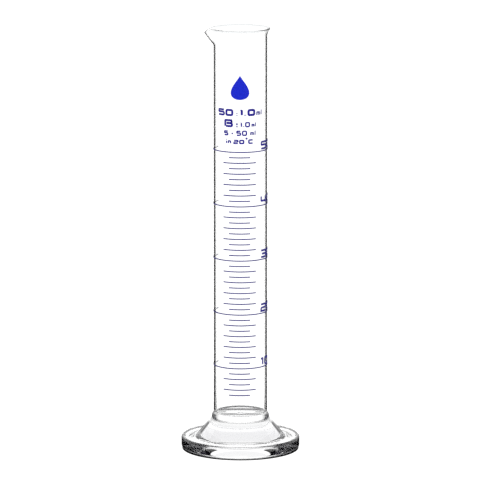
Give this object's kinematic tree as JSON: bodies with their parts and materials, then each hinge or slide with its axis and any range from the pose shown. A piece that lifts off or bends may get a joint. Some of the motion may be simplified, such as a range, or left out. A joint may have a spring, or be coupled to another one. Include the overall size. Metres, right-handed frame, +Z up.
{
  "type": "graduated cylinder",
  "caption": "Tall clear glass measuring vessel on a round foot, with a flared rim, a pouring spout and a printed blue volume scale.",
  "frame": {"origin": "centre of the foot's underside, on the surface that the cylinder stands on", "axes": "+Z up along the barrel's axis; the pouring spout points towards -X and the scale faces -Y"},
  "size_m": [0.0546, 0.0546, 0.1957],
  "materials": {
    "barrel_glass": "clear, fire-polished",
    "foot_glass": "clear, pressed and fire-polished",
    "seal_glass": "clear, flame-worked",
    "line_enamel": "fired blue enamel, satin",
    "numeral_enamel": "fired blue enamel, satin",
    "mark_enamel": "fired blue enamel, satin"
  },
  "bodies": {
    "root": {"barrel": "barrel_glass", "foot": "foot_glass", "fused_seal": "seal_glass", "graduation_05": "line_enamel", "graduation_06": "line_enamel", "graduation_07": "line_enamel", "graduation_08": "line_enamel", "graduation_09": "line_enamel", "graduation_10": "line_enamel", "graduation_11": "line_enamel", "graduation_12": "line_enamel", "graduation_13": "line_enamel", "graduation_14": "line_enamel", "graduation_15": "line_enamel", "graduation_16": "line_enamel", "graduation_17": "line_enamel", "graduation_18": "line_enamel", "graduation_19": "line_enamel", "graduation_20": "line_enamel", "graduation_21": "line_enamel", "graduation_22": "line_enamel", "graduation_23": "line_enamel", "graduation_24": "line_enamel", "graduation_25": "line_enamel", "graduation_26": "line_enamel", "graduation_27": "line_enamel", "graduation_28": "line_enamel", "graduation_29": "line_enamel", "graduation_30": "line_enamel", "graduation_31": "line_enamel", "graduation_32": "line_enamel", "graduation_33": "line_enamel", "graduation_34": "line_enamel", "graduation_35": "line_enamel", "graduation_36": "line_enamel", "graduation_37": "line_enamel", "graduation_38": "line_enamel", "graduation_39": "line_enamel", "graduation_40": "line_enamel", "graduation_41": "line_enamel", "graduation_42": "line_enamel", "graduation_43": "line_enamel", "graduation_44": "line_enamel", "graduation_45": "line_enamel", "graduation_46": "line_enamel", "graduation_47": "line_enamel", "graduation_48": "line_enamel", "graduation_49": "line_enamel", "graduation_50": "line_enamel", "numeral_10_tens": "numeral_enamel", "numeral_10_units": "numeral_enamel", "numeral_20_tens": "numeral_enamel", "numeral_20_units": "numeral_enamel", "numeral_30_tens": "numeral_enamel", "numeral_30_units": "numeral_enamel", "numeral_40_tens": "numeral_enamel", "numeral_40_units": "numeral_enamel", "numeral_50_tens": "numeral_enamel", "numeral_50_units": "numeral_enamel", "drop_mark": "mark_enamel"}
  },
  "joints": []
}
